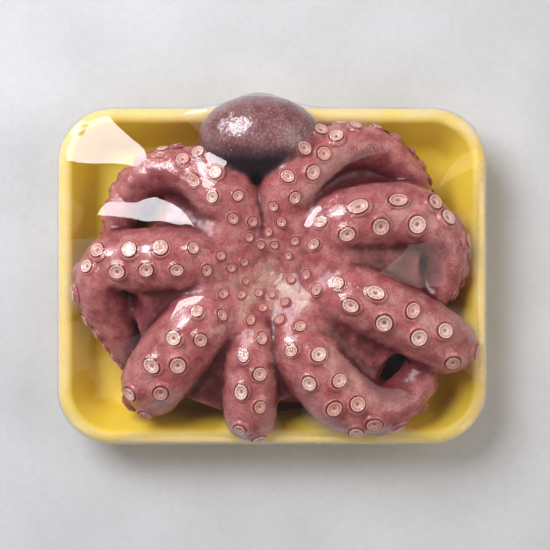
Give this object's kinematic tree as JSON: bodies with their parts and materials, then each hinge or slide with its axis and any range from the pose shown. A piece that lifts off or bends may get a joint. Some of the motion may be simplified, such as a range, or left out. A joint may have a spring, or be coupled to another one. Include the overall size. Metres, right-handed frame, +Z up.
{
  "type": "packed whole octopus",
  "caption": "Whole raw octopus, mouth side up with its arms folded under, on a moulded foam tray under stretched clear film.",
  "frame": {"origin": "under the middle of the pack, on the surface that it rests on", "axes": "+X along the tray's long side, +Y towards the side where the mantle lies over the rim, +Z up"},
  "size_m": [0.2378, 0.1934, 0.0644],
  "materials": {
    "tray": "yellow foamed polystyrene, satin",
    "octopus": "wet skin, red-brown with cream suckers",
    "film": "clear glossy stretch film"
  },
  "bodies": {
    "root": {"tray": "tray", "octopus": "octopus", "film": "film"}
  },
  "joints": []
}
